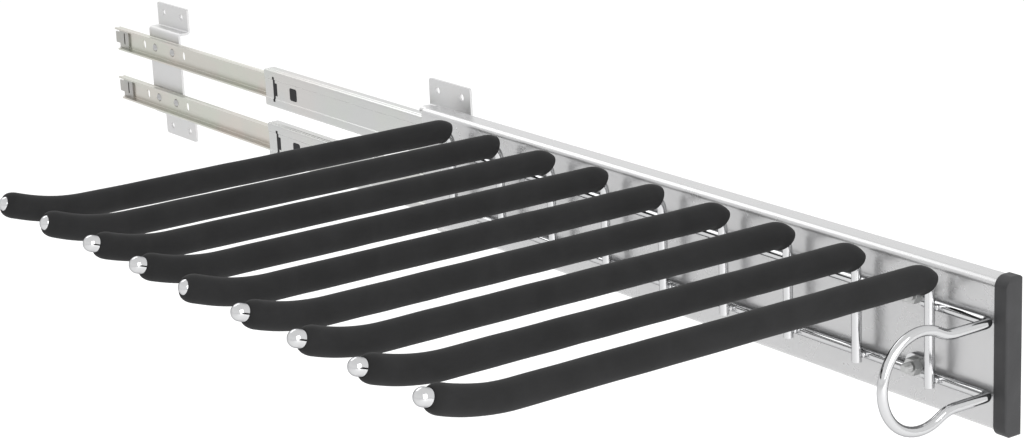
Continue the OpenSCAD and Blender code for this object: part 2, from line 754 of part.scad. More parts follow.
rear_bracket();
front_bracket();
upper_fixed_member();
lower_fixed_member();
slide_rivets();
upper_rear_stop();
lower_rear_stop();
upper_middle_member();
upper_latch();
upper_buffer();
lower_middle_member();
lower_latch();
lower_buffer();
upper_rear_cage();
upper_rear_balls();
lower_rear_cage();
lower_rear_balls();
upper_front_cage();
upper_front_balls();
lower_front_cage();
lower_front_balls();
rail();
end_cap();
upper_rail_member();
lower_rail_member();
rail_rivets();
handle_frame();
frame_bolts();
frame_washers();
frame_nuts();
arm_1_rod();
arm_1_sleeve();
arm_1_tip();
arm_2_rod();
arm_2_sleeve();
arm_2_tip();
arm_3_rod();
arm_3_sleeve();
arm_3_tip();
arm_4_rod();
arm_4_sleeve();
arm_4_tip();
arm_5_rod();
arm_5_sleeve();
arm_5_tip();
arm_6_rod();
arm_6_sleeve();
arm_6_tip();
arm_7_rod();
arm_7_sleeve();
arm_7_tip();
arm_8_rod();
arm_8_sleeve();
arm_8_tip();
arm_9_rod();
arm_9_sleeve();
arm_9_tip();
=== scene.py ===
"""Looks of a pull-out trouser rack: foam, chrome, aluminium and zinc over the packed model."""

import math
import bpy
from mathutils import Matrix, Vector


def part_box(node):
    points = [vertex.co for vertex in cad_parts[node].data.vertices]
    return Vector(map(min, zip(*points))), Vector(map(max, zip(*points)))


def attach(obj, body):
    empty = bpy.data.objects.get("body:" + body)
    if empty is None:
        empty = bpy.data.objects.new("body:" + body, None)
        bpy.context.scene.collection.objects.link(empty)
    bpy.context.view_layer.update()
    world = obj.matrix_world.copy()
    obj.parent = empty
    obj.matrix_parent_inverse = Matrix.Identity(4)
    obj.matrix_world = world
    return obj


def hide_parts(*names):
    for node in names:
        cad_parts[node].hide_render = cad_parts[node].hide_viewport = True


bl_info = {
    "name": "Trouser rack finishes",
    "version": (1, 0, 0),
    "blender": (4, 5, 0),
    "location": "3D View > Sidebar > Rack",
    "description": "Foam sleeves, threads, weld beads and finishes of a pull-out trouser rack",
    "category": "Object",
}

import bmesh
import bpy
from bpy.props import (
    BoolVectorProperty,
    FloatProperty,
    FloatVectorProperty,
    IntProperty,
    PointerProperty,
)
from mathutils import Matrix, Vector, noise

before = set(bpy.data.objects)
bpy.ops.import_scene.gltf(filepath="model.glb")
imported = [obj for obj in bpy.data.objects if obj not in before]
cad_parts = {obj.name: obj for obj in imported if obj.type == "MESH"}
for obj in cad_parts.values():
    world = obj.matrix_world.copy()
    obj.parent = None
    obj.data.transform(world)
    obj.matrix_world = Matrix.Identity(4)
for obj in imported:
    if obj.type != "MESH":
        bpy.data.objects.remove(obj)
bpy.context.view_layer.update()

MM = 0.001
RAIL_BODY = "arm_rail"
ARMS = range(1, 10)
OUTWARD = Vector((0, -1, 0))
ALONG = Vector((1, 0, 0))

# Steps along and around the swept and turned shapes
SLEEVE_STEPS = 60
BORE_STEPS = 12
DOME_STEPS = 10
LEAST_BEND_STEPS = 4
BOLT_POINTS = 36
THREAD_STEPS = 8

# The foam's slow wander from a true tube
WANDER_SCALE = 55
WANDER_SHIFT = 7.3

# Weld beads, two at each crossing of a rod and a wire
WELD_HEIGHTS = (16.7 * MM, -19.5 * MM)
WELD_SPREAD = 2.1 * MM
WELD_SINK = 0.25 * MM
WELD_LEAN = math.radians(24)
WELD_SHAPE = (1.15, 0.8, 1.35, 1)
WELD_RIPPLE = 0.14
WELD_RIPPLE_SCALE = 900

WASHER_RADIUS = 5.0 * MM
THREAD_CREST = 1.25
BOLT_END_SHARE = 0.76

# How far a smudge changes a metal's roughness and colour
SMUDGE_ROUGHNESS = (0.98, 1.03)
SMUDGE_TINT = 0.985

# Strength of the faint waves in a plated skin
CHROME_WAVE = 0.05
FASTENER_WAVE = 0.04

# Softboxes: place, point aimed at, width and height
LEFT_SOFTBOX = ((-1.5, -0.1, 1.5), (0.4, -0.03, 0), (1.6, 1.0))
RIGHT_SOFTBOX = ((2.6, -0.3, 0.9), (0.4, -0.05, 0), (2.0, 2.0))
FLOOR_SIZE = 16

# Room light: it fades between two heights of the sky, from one brightness to another
SKY_FADE = (0.3, 0.8, 1.14, 1.06)

# Lines from drawing or rolling, as a noise scale
RAIL_LINES = 1400.0
SLIDE_LINES = 900.0


def millimetres(value, name, description):
    """A length property, given in millimetres."""
    return FloatProperty(
        name=name, description=description, default=value * MM, unit="LENGTH", precision=5
    )


def colour(value, name, description):
    return FloatVectorProperty(
        name=name, description=description, default=value, subtype="COLOR", min=0, max=1
    )


def share(value, name, description):
    return FloatProperty(name=name, description=description, default=value, subtype="FACTOR", min=0)


# ---------------------------------------------------------------- settings


class SleeveSettings(bpy.types.PropertyGroup):
    """Sizes and colour of the foam sleeves"""

    radius: millimetres(7.0, "Radius", "Outer radius of a foam sleeve")
    bore: millimetres(2.55, "Bore", "Radius of the hole for the rod")
    post_depth: millimetres(-29.35, "Post", "Depth of the posts' middle line")
    bend_start: millimetres(22.9, "Bend start", "Height where a post starts to bend")
    bend_radius: millimetres(9.5, "Bend", "Bend radius at the post")
    wrap: FloatVectorProperty(
        name="Wrap",
        description="How far each sleeve follows the bend at its post",
        size=9,
        default=[math.radians(part) for part in (34, 29, 43, 38, 31, 48, 48, 52, 46)],
    )
    knee_depth: millimetres(-288.0, "Knee", "Depth of the bend below the raised tip")
    knee_radius: millimetres(110.0, "Knee bend", "Bend radius below the raised tip")
    tip_angle: FloatProperty(
        name="Tip slope",
        description="Slope of the raised tip",
        default=math.radians(19.5),
        subtype="ANGLE",
    )
    tip_length: millimetres(25.0, "Tip", "Length from the knee to the sleeve's end")
    dome: millimetres(6.0, "Dome", "Length over which the end closes in on its cap")
    hood: millimetres(4.8, "Hood", "How far a hooded sleeve reaches over its cap")
    mouth: millimetres(4.12, "Mouth", "Radius of a hooded sleeve's opening")
    cap_room: millimetres(4.4, "Cap room", "Radius of the recess for the cap")
    hooded: BoolVectorProperty(
        name="Hooded",
        description="Which sleeves reach over their caps",
        size=9,
        default=(True, True, False, False, True, False, False, False, False),
    )
    swell: millimetres(0.16, "Swell", "How far the foam wanders from a true tube")
    rim: millimetres(1.1, "Rim", "Rounding of the cut end at the post")
    around: IntProperty(name="Around", description="Points around a sleeve", default=48)
    tint: colour((0.0108, 0.0108, 0.0111), "Foam", "Colour of the foam")


class ChromeSettings(bpy.types.PropertyGroup):
    """Finish of the chrome wire, rods and caps"""

    tint: colour((0.56, 0.562, 0.568), "Chrome", "Colour of the plating")
    roughness: share(0.09, "Roughness", "Roughness of the plating")
    rim_tint: colour((0.30, 0.30, 0.31), "Rim", "Colour of the plating where it is seen edge on")
    bead: millimetres(1.25, "Bead", "Radius of a weld bead")


class RailSettings(bpy.types.PropertyGroup):
    """Finish of the aluminium rail and its end cap"""

    tint: colour((0.505, 0.505, 0.508), "Aluminium", "Colour of the anodised rail")
    roughness: share(0.27, "Roughness", "Roughness of the rail")
    metallic: share(0.70, "Metallic", "How far the milky anodising lets the metal through")
    line_depth: share(0.14, "Lines", "Strength of the lines from drawing")
    cap_tint: colour((0.040, 0.040, 0.0412), "End cap", "Colour of the plastic end cap")
    cap_roughness: share(0.42, "End cap roughness", "Roughness of the plastic end cap")


class SlideSettings(bpy.types.PropertyGroup):
    """Finish of the slides and brackets"""

    bracket_tint: colour((0.585, 0.585, 0.588), "Bracket", "Colour of the bracket plating")
    bracket_roughness: share(0.46, "Bracket roughness", "Roughness of the bracket plating")
    bracket_film: share(0.08, "Bracket film", "Strength of the brackets' plating film")
    fixed_tint: colour((0.52, 0.505, 0.465), "Fixed members", "Colour of the narrow members")
    fixed_roughness: share(0.30, "Fixed roughness", "Roughness of the narrow members")
    fixed_film: share(0.45, "Fixed film", "Strength of the narrow members' plating film")
    middle_tint: colour((0.495, 0.50, 0.495), "Middle members", "Colour of the wide members")
    middle_roughness: share(0.24, "Middle roughness", "Roughness of the wide members")
    middle_film: share(0.22, "Middle film", "Strength of the wide members' plating film")
    warm_tint: colour((0.58, 0.51, 0.47), "Warm film", "Warm end of the plating's colours")
    cool_tint: colour((0.49, 0.53, 0.46), "Cool film", "Cool end of the plating's colours")
    # Rivet colour: zinc darkened as painted shade, standing in for the shaded side of domed heads
    # that the flat heads lack.
    rivet_painted_shade_tint: colour((0.40, 0.40, 0.40), "Rivets", "Colour of the slides' rivets")
    rivet_roughness: share(0.16, "Rivet roughness", "Roughness of the slides' rivets")
    # Rear stop colour: zinc darkened as painted shade for the shaded channel the stops sit in.
    stop_painted_shade_tint: colour((0.33, 0.33, 0.32), "Rear stops", "Colour of the rear stops")
    stop_roughness: share(0.38, "Stop roughness", "Roughness of the rear stops")
    stop_film: share(0.15, "Stop film", "Strength of the rear stops' plating film")
    ball_tint: colour((0.75, 0.75, 0.76), "Balls", "Colour of the polished balls")
    ball_roughness: share(0.06, "Ball roughness", "Roughness of the polished balls")
    black_tint: colour((0.012, 0.012, 0.013), "Black parts", "Colour of latch and buffer")


class FastenerSettings(bpy.types.PropertyGroup):
    """Sizes and finish of the frame bolts"""

    radius: millimetres(2.5, "Bolt", "Outer radius of the thread")
    head: millimetres(4.6, "Head", "Radius of the sunk head")
    head_height: millimetres(2.3, "Head height", "Height of the sunk head")
    socket: millimetres(1.5, "Socket", "Half width of the hexagon socket")
    socket_depth: millimetres(1.3, "Socket depth", "Depth of the hexagon socket")
    length: millimetres(14.0, "Length", "Length of a bolt with its head")
    pitch: millimetres(0.8, "Pitch", "Pitch of the thread")
    groove: millimetres(0.36, "Groove", "Depth of the thread")
    chamfer: millimetres(0.5, "Chamfer", "Chamfer of the bolt's end")
    tint: colour((0.42, 0.423, 0.42), "Plating", "Colour of bolts, nuts and washers")
    roughness: share(0.32, "Roughness", "Roughness of bolts, nuts and washers")


class StageSettings(bpy.types.PropertyGroup):
    """Camera, floor and lights"""

    eye: FloatVectorProperty(
        name="Eye",
        description="Where the camera stands",
        default=(1.2632, -0.8329, 0.3902),
        subtype="TRANSLATION",
    )
    yaw: FloatProperty(
        name="Yaw", description="Turn of the view", default=math.radians(34.675), subtype="ANGLE"
    )
    pitch: FloatProperty(
        name="Pitch", description="Fall of the view", default=math.radians(15.858), subtype="ANGLE"
    )
    roll: FloatProperty(
        name="Roll", description="Roll of the view", default=math.radians(2.532), subtype="ANGLE"
    )
    lens: FloatProperty(
        name="Lens", description="Focal length on a 36 mm sensor", default=88.66, unit="CAMERA"
    )
    floor_height: FloatProperty(
        name="Floor", description="Height of the floor", default=-0.42, unit="LENGTH"
    )
    floor_tint: colour((0.94, 0.94, 0.94), "Floor", "Colour of the floor")
    sky: FloatProperty(name="Sky", description="Strength of the soft room light", default=1.0)
    left: FloatProperty(name="Left", description="Power of the left softbox", default=8.5)
    right: FloatProperty(name="Right", description="Power of the right softbox", default=44)


# ---------------------------------------------------------------- node groups


def new_group(name, inputs, outputs):
    """An empty node group with named inputs and outputs."""
    tree = bpy.data.node_groups.new(name, "ShaderNodeTree")
    for label, kind, value in inputs:
        socket = tree.interface.new_socket(name=label, in_out="INPUT", socket_type=kind)
        if value is not None:
            socket.default_value = value
    for label, kind in outputs:
        tree.interface.new_socket(name=label, in_out="OUTPUT", socket_type=kind)
    return tree, tree.nodes.new("NodeGroupInput"), tree.nodes.new("NodeGroupOutput")


def add_node(tree, kind, settings=None, **values):
    """A node with plain values on its sockets."""
    node = tree.nodes.new(kind)
    for key, value in (settings or {}).items():
        setattr(node, key, value)
    for label, value in values.items():
        node.inputs[label.replace("_", " ")].default_value = value
    return node


def remap(tree, source, low, high, to_low=0.0, to_high=1.0):
    """The source's range low to high, stretched to another range and clamped."""
    node = tree.nodes.new("ShaderNodeMapRange")
    for label, value in (
        ("From Min", low), ("From Max", high), ("To Min", to_low), ("To Max", to_high)
    ):
        node.inputs[label].default_value = value
    tree.links.new(source, node.inputs["Value"])
    return node.outputs["Result"]


def drawn_lines():
    """Fine lines along X, as an extrusion or a rolled strip has them."""
    name = "drawn_lines"
    if name in bpy.data.node_groups:
        return bpy.data.node_groups[name]
    tree, inside, outside = new_group(
        name,
        (("Vector", "NodeSocketVector", None), ("Lines", "NodeSocketFloat", 900.0)),
        (("Height", "NodeSocketFloat"),),
    )
    stretch = add_node(tree, "ShaderNodeVectorMath", {"operation": "MULTIPLY"})
    stretch.inputs[1].default_value = (0.012, 1, 1)
    fine = add_node(tree, "ShaderNodeTexNoise", Detail=3.0, Roughness=0.6)
    tree.links.new(inside.outputs["Vector"], stretch.inputs[0])
    tree.links.new(stretch.outputs["Vector"], fine.inputs["Vector"])
    tree.links.new(inside.outputs["Lines"], fine.inputs["Scale"])
    tree.links.new(fine.outputs["Fac"], outside.inputs["Height"])
    return tree


def handling_marks():
    """Soft smudges of handling, from 0 to 1."""
    name = "handling_marks"
    if name in bpy.data.node_groups:
        return bpy.data.node_groups[name]
    tree, inside, outside = new_group(
        name,
        (("Vector", "NodeSocketVector", None), ("Size", "NodeSocketFloat", 30.0)),
        (("Smudge", "NodeSocketFloat"),),
    )
    cloud = add_node(tree, "ShaderNodeTexNoise", Detail=5.0, Roughness=0.62, Distortion=0.4)
    tree.links.new(inside.outputs["Vector"], cloud.inputs["Vector"])
    tree.links.new(inside.outputs["Size"], cloud.inputs["Scale"])
    tree.links.new(remap(tree, cloud.outputs["Fac"], 0.38, 0.66), outside.inputs["Smudge"])
    return tree


def plating_film():
    """Slow drift between three colours, as on passivated zinc."""
    name = "plating_film"
    if name in bpy.data.node_groups:
        return bpy.data.node_groups[name]
    tree, inside, outside = new_group(
        name,
        (
            ("Vector", "NodeSocketVector", None),
            ("Base", "NodeSocketColor", (0.7, 0.7, 0.7, 1)),
            ("Warm", "NodeSocketColor", (0.8, 0.7, 0.6, 1)),
            ("Cool", "NodeSocketColor", (0.6, 0.7, 0.75, 1)),
            ("Amount", "NodeSocketFloat", 0.4),
        ),
        (("Color", "NodeSocketColor"),),
    )
    last = inside.outputs["Base"]
    for label, scale, offset in (("Warm", 17.0, 0.0), ("Cool", 23.0, 3.0)):
        shift = add_node(tree, "ShaderNodeVectorMath", {"operation": "ADD"})
        shift.inputs[1].default_value = (offset, offset, offset)
        drift = add_node(tree, "ShaderNodeTexNoise", Scale=scale, Detail=2.0, Distortion=0.8)
        amount = add_node(tree, "ShaderNodeMath", {"operation": "MULTIPLY"})
        mix = add_node(tree, "ShaderNodeMix", {"data_type": "RGBA"})
        tree.links.new(inside.outputs["Vector"], shift.inputs[0])
        tree.links.new(shift.outputs["Vector"], drift.inputs["Vector"])
        tree.links.new(remap(tree, drift.outputs["Fac"], 0.44, 0.62), amount.inputs[0])
        tree.links.new(inside.outputs["Amount"], amount.inputs[1])
        tree.links.new(amount.outputs["Value"], mix.inputs["Factor"])
        tree.links.new(last, mix.inputs["A"])
        tree.links.new(inside.outputs[label], mix.inputs["B"])
        last = mix.outputs["Result"]
    tree.links.new(last, outside.inputs["Color"])
    return tree


# ---------------------------------------------------------------- finishes


def four(tint):
    return (tint[0], tint[1], tint[2], 1.0)


def new_finish(name):
    """A material with its tree, its Principled shader and its Object coordinates."""
    material = bpy.data.materials.new(name)
    material.use_nodes = True
    tree = material.node_tree
    shader = tree.nodes["Principled BSDF"]
    place = tree.nodes.new("ShaderNodeTexCoord").outputs["Object"]
    return material, tree, shader, place


def add_group(tree, group, place, **values):
    node = tree.nodes.new("ShaderNodeGroup")
    node.node_tree = group
    tree.links.new(place, node.inputs["Vector"])
    for label, value in values.items():
        node.inputs[label].default_value = value
    return node


def add_bump(tree, shader, height, strength, distance, under=None):
    """A Bump on the shader's normal, over an earlier one if there is one."""
    bump = tree.nodes.new("ShaderNodeBump")
    bump.inputs["Strength"].default_value = strength
    bump.inputs["Distance"].default_value = distance
    tree.links.new(height, bump.inputs["Height"])
    if under is not None:
        tree.links.new(under.outputs["Normal"], bump.inputs["Normal"])
    tree.links.new(bump.outputs["Normal"], shader.inputs["Normal"])
    return bump


def tinted(tree, shader, mask, tint, other):
    """Base colour that goes from tint to other where the mask is 1."""
    mix = add_node(tree, "ShaderNodeMix", {"data_type": "RGBA"})
    mix.inputs["A"].default_value = four(tint)
    mix.inputs["B"].default_value = four(other)
    tree.links.new(mask, mix.inputs["Factor"])
    tree.links.new(mix.outputs["Result"], shader.inputs["Base Color"])


def scaled(tint, factor):
    return [min(1.0, part * factor) for part in tint]


def metal_finish(
    name, tint, roughness, lines=None, film=None, wave=0.0, metallic=1.0, depth=0.5
):
    """A plated or anodised metal, with drawn lines, a plating film or a wavy skin where asked."""
    material, tree, shader, place = new_finish(name)
    shader.inputs["Metallic"].default_value = metallic
    marks = add_group(tree, handling_marks(), place, Size=26.0)
    least, most = (roughness * factor for factor in SMUDGE_ROUGHNESS)
    tree.links.new(
        remap(tree, marks.outputs["Smudge"], 0, 1, least, most), shader.inputs["Roughness"]
    )
    if film:
        warm, cool, amount = film
        drift = add_group(
            tree, plating_film(), place,
            Base=four(tint), Warm=four(warm), Cool=four(cool), Amount=amount,
        )
        tree.links.new(drift.outputs["Color"], shader.inputs["Base Color"])
    else:
        tinted(tree, shader, marks.outputs["Smudge"], tint, scaled(tint, SMUDGE_TINT))
    under = None
    if lines:
        drawn = add_group(tree, drawn_lines(), place, Lines=lines)
        under = add_bump(tree, shader, drawn.outputs["Height"], depth, 0.05 * MM)
    if wave:
        peel = add_node(tree, "ShaderNodeTexNoise", Scale=120.0, Detail=1.0)
        tree.links.new(place, peel.inputs["Vector"])
        add_bump(tree, shader, peel.outputs["Fac"], wave, 0.1 * MM, under)
    return material


def plastic_finish(name, tint, roughness, grain):
    """A moulded plastic or rubber with a fine spark-eroded grain."""
    material, tree, shader, place = new_finish(name)
    marks = add_group(tree, handling_marks(), place, Size=60.0)
    tinted(tree, shader, marks.outputs["Smudge"], tint, scaled(tint, 1.18))
    tree.links.new(
        remap(tree, marks.outputs["Smudge"], 0, 1, roughness, min(1.0, roughness * 1.15)),
        shader.inputs["Roughness"],
    )
    shader.inputs["Specular IOR Level"].default_value = 0.12
    skin = add_node(tree, "ShaderNodeTexNoise", Scale=grain, Detail=3.0)
    tree.links.new(place, skin.inputs["Vector"])
    add_bump(tree, shader, skin.outputs["Fac"], 0.18, 0.05 * MM)
    return material


def foam_finish(name, tint):
    """Matt closed-cell foam: small cells, a broken skin and a soft bloom of dust."""
    material, tree, shader, place = new_finish(name)
    marks = add_group(tree, handling_marks(), place, Size=42.0)
    tinted(tree, shader, marks.outputs["Smudge"], tint, scaled(tint, 1.35))
    shader.inputs["Roughness"].default_value = 0.88
    shader.inputs["Specular IOR Level"].default_value = 0.20
    shader.inputs["Sheen Weight"].default_value = 0.03
    shader.inputs["Sheen Roughness"].default_value = 0.55
    cells = add_node(
        tree, "ShaderNodeTexVoronoi", {"feature": "SMOOTH_F1"}, Scale=1500.0, Smoothness=0.6
    )
    skin = add_node(tree, "ShaderNodeTexNoise", Scale=420.0, Detail=4.0, Roughness=0.65)
    for node in (cells, skin):
        tree.links.new(place, node.inputs["Vector"])
    under = add_bump(tree, shader, cells.outputs["Distance"], 0.25, 0.12 * MM)
    add_bump(tree, shader, skin.outputs["Fac"], 0.30, 0.15 * MM, under)
    return material


def dress(material, *names):
    """Gives CAD nodes a finish."""
    for name in names:
        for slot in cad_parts[name].material_slots:
            slot.material = material


# ---------------------------------------------------------------- mesh helpers


def new_piece(name, bm, material, body=RAIL_BODY):
    """A finished piece from a bmesh, riding on its body."""
    mesh = bpy.data.meshes.new(name)
    bm.to_mesh(mesh)
    bm.free()
    mesh.materials.append(material)
    piece = bpy.data.objects.new(name, mesh)
    bpy.context.scene.collection.objects.link(piece)
    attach(piece, body)
    return piece


def edges_of(geometry):
    return [item for item in geometry if isinstance(item, bmesh.types.BMEdge)]


def verts_of(geometry):
    return [item for item in geometry if isinstance(item, bmesh.types.BMVert)]


def ring_at(bm, centre, radius, around, turn=None):
    """A level ring of edges, turned where asked."""
    matrix = Matrix.Translation(centre) @ (turn or Matrix.Identity(4))
    made = bmesh.ops.create_circle(
        bm, cap_ends=False, segments=around, radius=radius, matrix=matrix
    )
    return list({edge for vert in made["verts"] for edge in vert.link_edges})


def grow(bm, ring, step, count=1):
    """Extrudes a ring straight by count equal steps."""
    for _ in range(count):
        made = bmesh.ops.extrude_edge_only(bm, edges=ring)["geom"]
        ring = edges_of(made)
        bmesh.ops.translate(bm, verts=verts_of(made), vec=step)
    return ring


def swing(bm, ring, centre, angle, steps):
    """Spins a ring about a line along X."""
    made = bmesh.ops.spin(
        bm, geom=ring, cent=centre, axis=ALONG, dvec=(0, 0, 0), angle=angle, steps=steps,
        use_merge=False, use_duplicate=False,
    )
    return edges_of(made["geom_last"])


def middle_of(ring):
    verts = {vert for edge in ring for vert in edge.verts}
    return sum((vert.co for vert in verts), Vector()) / len(verts)


def narrow(bm, ring, factor):
    """Extrudes a ring in its own plane, scaled towards its middle."""
    centre = middle_of(ring)
    made = bmesh.ops.extrude_edge_only(bm, edges=ring)["geom"]
    bmesh.ops.scale(
        bm, verts=verts_of(made), vec=(factor,) * 3, space=Matrix.Translation(-centre)
    )
    return edges_of(made)


# ---------------------------------------------------------------- pieces


class RACK_OT_sleeves(bpy.types.Operator):
    """Foam sleeves over the arms, with a soft outline and rounded ends"""

    bl_idname = "rack.sleeves"
    bl_label = "Foam sleeves"

    def sweep(self, bm, settings, x, wrap, radius, lengthwise, reach):
        """One wall of the sleeve, from the bend to a reach past the knee; both end rings."""
        bend_centre = Vector((x, settings.post_depth - settings.bend_radius, settings.bend_start))
        knee_run = settings.knee_radius * math.tan(settings.tip_angle / 2)
        level = bend_centre.z + settings.bend_radius
        turn = Matrix.Rotation(math.pi / 2 - wrap, 4, "X")
        start = bend_centre + turn @ Vector((0, settings.bend_radius, 0))
        first = ring_at(bm, start, radius, settings.around, turn)
        ring = swing(bm, first, bend_centre, wrap, max(LEAST_BEND_STEPS, lengthwise // 6))
        straight = bend_centre.y - settings.knee_depth - knee_run
        ring = grow(bm, ring, OUTWARD * straight / lengthwise, lengthwise)
        knee_centre = Vector((x, settings.knee_depth + knee_run, level + settings.knee_radius))
        knee_steps = max(LEAST_BEND_STEPS, lengthwise // 5)
        ring = swing(bm, ring, knee_centre, -settings.tip_angle, knee_steps)
        slope = Vector((0, -math.cos(settings.tip_angle), math.sin(settings.tip_angle)))
        return first, grow(bm, ring, slope * (reach - knee_run)), slope

    def close_in(self, bm, settings, ring, slope, opening):
        """Rounds the sleeve's end down to its opening, ring by ring."""
        drawn_in = settings.radius - opening
        last_radius, last_run = settings.radius, 0.0
        for step in range(1, DOME_STEPS + 1):
            lean = math.radians(90) * step / DOME_STEPS
            radius = settings.radius - drawn_in * (1 - math.cos(lean))
            run = settings.dome * math.sin(lean)
            ring = narrow(bm, ring, radius / last_radius)
            verts = {vert for edge in ring for vert in edge.verts}
            bmesh.ops.translate(bm, verts=list(verts), vec=slope * (run - last_run))
            last_radius, last_run = radius, run
        return ring

    def hollow(self, bm, settings, ring, slope):
        """Widens a hooded sleeve's mouth back to the room for its cap."""
        ring = narrow(bm, ring, settings.cap_room / settings.mouth)
        verts = {vert for edge in ring for vert in edge.verts}
        bmesh.ops.translate(bm, verts=list(verts), vec=-slope * settings.hood / 2)
        return grow(bm, ring, -slope * settings.hood / 2)

    def soften(self, bm, settings, number):
        """Lets the foam wander a little from a true tube."""
        bm.normal_update()
        shift = Vector((number * WANDER_SHIFT, 0, 0))
        for vert in bm.verts:
            wander = noise.noise(vert.co * WANDER_SCALE + shift)
            vert.co += vert.normal * settings.swell * wander

    def execute(self, context):
        settings = context.scene.rack_sleeves
        foam = foam_finish("foam_black", settings.tint)
        for number in ARMS:
            node = f"arm_{number}_sleeve"
            low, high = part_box(node)
            x = (low.x + high.x) / 2
            wrap = settings.wrap[number - 1]
            hood = settings.hood if settings.hooded[number - 1] else 0.0
            reach = settings.tip_length + hood - settings.dome
            bm = bmesh.new()
            first, last, slope = self.sweep(
                bm, settings, x, wrap, settings.radius, SLEEVE_STEPS, reach
            )
            opening = settings.mouth if hood else settings.cap_room
            last = self.close_in(bm, settings, last, slope, opening)
            bmesh.ops.recalc_face_normals(bm, faces=bm.faces)
            self.soften(bm, settings, number)
            if hood:
                last = self.hollow(bm, settings, last, slope)
            inner_first, inner_last, _ = self.sweep(
                bm, settings, x, wrap, settings.bore, BORE_STEPS, settings.tip_length
            )
            bmesh.ops.bridge_loops(bm, edges=first + inner_first)
            bmesh.ops.bridge_loops(bm, edges=last + inner_last)
            bmesh.ops.recalc_face_normals(bm, faces=bm.faces)
            bmesh.ops.bevel(
                bm, geom=first, offset=settings.rim, offset_type="OFFSET", segments=4,
                profile=0.5, affect="EDGES", material=-1, clamp_overlap=True,
            )
            for face in bm.faces:
                face.smooth = True
            sleeve = new_piece(f"foam_sleeve_{number}", bm, foam)
            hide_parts(node)
        return {"FINISHED"}


class RACK_OT_wire_frame(bpy.types.Operator):
    """Chrome on the wire frame, the pull, the rods and the caps, with weld beads"""

    bl_idname = "rack.wire_frame"
    bl_label = "Chrome wire and welds"

    def bead(self, bm, settings, place, side):
        """One rippled weld bead, leaning to its side of the rod."""
        turn = Matrix.Rotation(side * WELD_LEAN, 4, "Y")
        made = bmesh.ops.create_icosphere(
            bm, subdivisions=3, radius=settings.bead,
            matrix=Matrix.Translation(place) @ turn @ Matrix.Diagonal(WELD_SHAPE),
        )
        centre = Vector(place)
        for vert in made["verts"]:
            ripple = noise.noise(vert.co * WELD_RIPPLE_SCALE)
            vert.co += (vert.co - centre) * WELD_RIPPLE * ripple

    def execute(self, context):
        settings = context.scene.rack_chrome
        chrome = metal_finish("chrome_plating", settings.tint, settings.roughness, wave=CHROME_WAVE)
        shader = chrome.node_tree.nodes["Principled BSDF"]
        shader.inputs["Specular Tint"].default_value = four(settings.rim_tint)
        dress(chrome, "handle_frame")
        dress(chrome, *(f"arm_{number}_rod" for number in ARMS))
        dress(chrome, *(f"arm_{number}_tip" for number in ARMS))
        bm = bmesh.new()
        for number in ARMS:
            low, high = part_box(f"arm_{number}_rod")
            x, front = (low.x + high.x) / 2, high.y
            for height in WELD_HEIGHTS:
                for side in (-1, 1):
                    place = (x + side * WELD_SPREAD, front - WELD_SINK, height)
                    self.bead(bm, settings, place, side)
        for face in bm.faces:
            face.smooth = True
        new_piece("weld_beads", bm, chrome)
        return {"FINISHED"}


